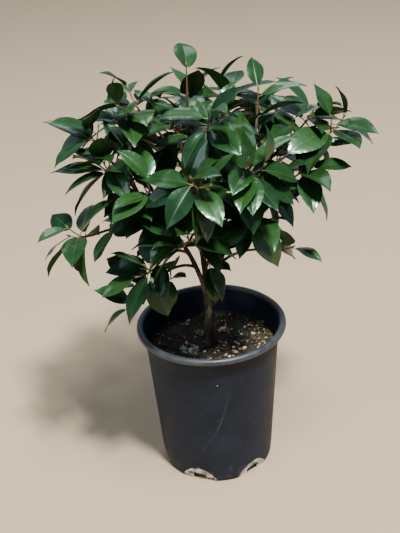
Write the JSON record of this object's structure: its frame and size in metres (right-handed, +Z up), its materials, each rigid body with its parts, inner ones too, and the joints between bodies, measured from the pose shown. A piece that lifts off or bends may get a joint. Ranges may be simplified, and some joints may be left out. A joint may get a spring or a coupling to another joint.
{
  "type": "camellia shrub in nursery pot",
  "caption": "Young camellia shrub with glossy dark leaves whorled at the tips of its boughs, growing from one trunk in a round black plastic nursery pot.",
  "frame": {"origin": "centre of the pot's flat underside", "axes": "+Z up along the pot's axis, -Y towards the side that the picture looks at"},
  "size_m": [0.5956, 0.4741, 0.8064],
  "materials": {
    "pot_plastic": "moulded black plastic, faded to charcoal, with a soft sheen on the rim",
    "potting_mix": "dark bark and coir potting mix with pale grit",
    "bark": "smooth grey-brown bark, tan where it has split",
    "foliage": "glossy, leathery dark green leaves"
  },
  "bodies": {
    "root": {"pot": "pot_plastic", "potting_mix": "potting_mix", "trunk": "bark", "stem_centre": "bark", "stem_left": "bark", "stem_right": "bark", "bough_back": "bark", "bough_back_left": "bark", "bough_back_low": "bark", "bough_back_right": "bark", "bough_front_foot": "bark", "bough_front_high": "bark", "bough_front_low": "bark", "bough_front_mid": "bark", "bough_left_drop": "bark", "bough_left_far": "bark", "bough_left_foot": "bark", "bough_left_front": "bark", "bough_left_high": "bark", "bough_left_low": "bark", "bough_right_far": "bark", "bough_right_foot": "bark", "bough_right_front": "bark", "bough_right_high": "bark", "bough_right_low": "bark", "bough_right_mid": "bark", "bough_right_twig": "bark", "bough_top": "bark", "bough_top_left": "bark", "bough_top_right": "bark", "foliage_back": "foliage", "foliage_back_left": "foliage", "foliage_back_low": "foliage", "foliage_back_right": "foliage", "foliage_centre": "foliage", "foliage_front_foot": "foliage", "foliage_front_high": "foliage", "foliage_front_low": "foliage", "foliage_front_mid": "foliage", "foliage_left": "foliage", "foliage_left_drop": "foliage", "foliage_left_far": "foliage", "foliage_left_foot": "foliage", "foliage_left_front": "foliage", "foliage_left_high": "foliage", "foliage_left_low": "foliage", "foliage_right": "foliage", "foliage_right_far": "foliage", "foliage_right_foot": "foliage", "foliage_right_front": "foliage", "foliage_right_high": "foliage", "foliage_right_low": "foliage", "foliage_right_mid": "foliage", "foliage_right_twig": "foliage", "foliage_top": "foliage", "foliage_top_left": "foliage", "foliage_top_right": "foliage"}
  },
  "joints": []
}
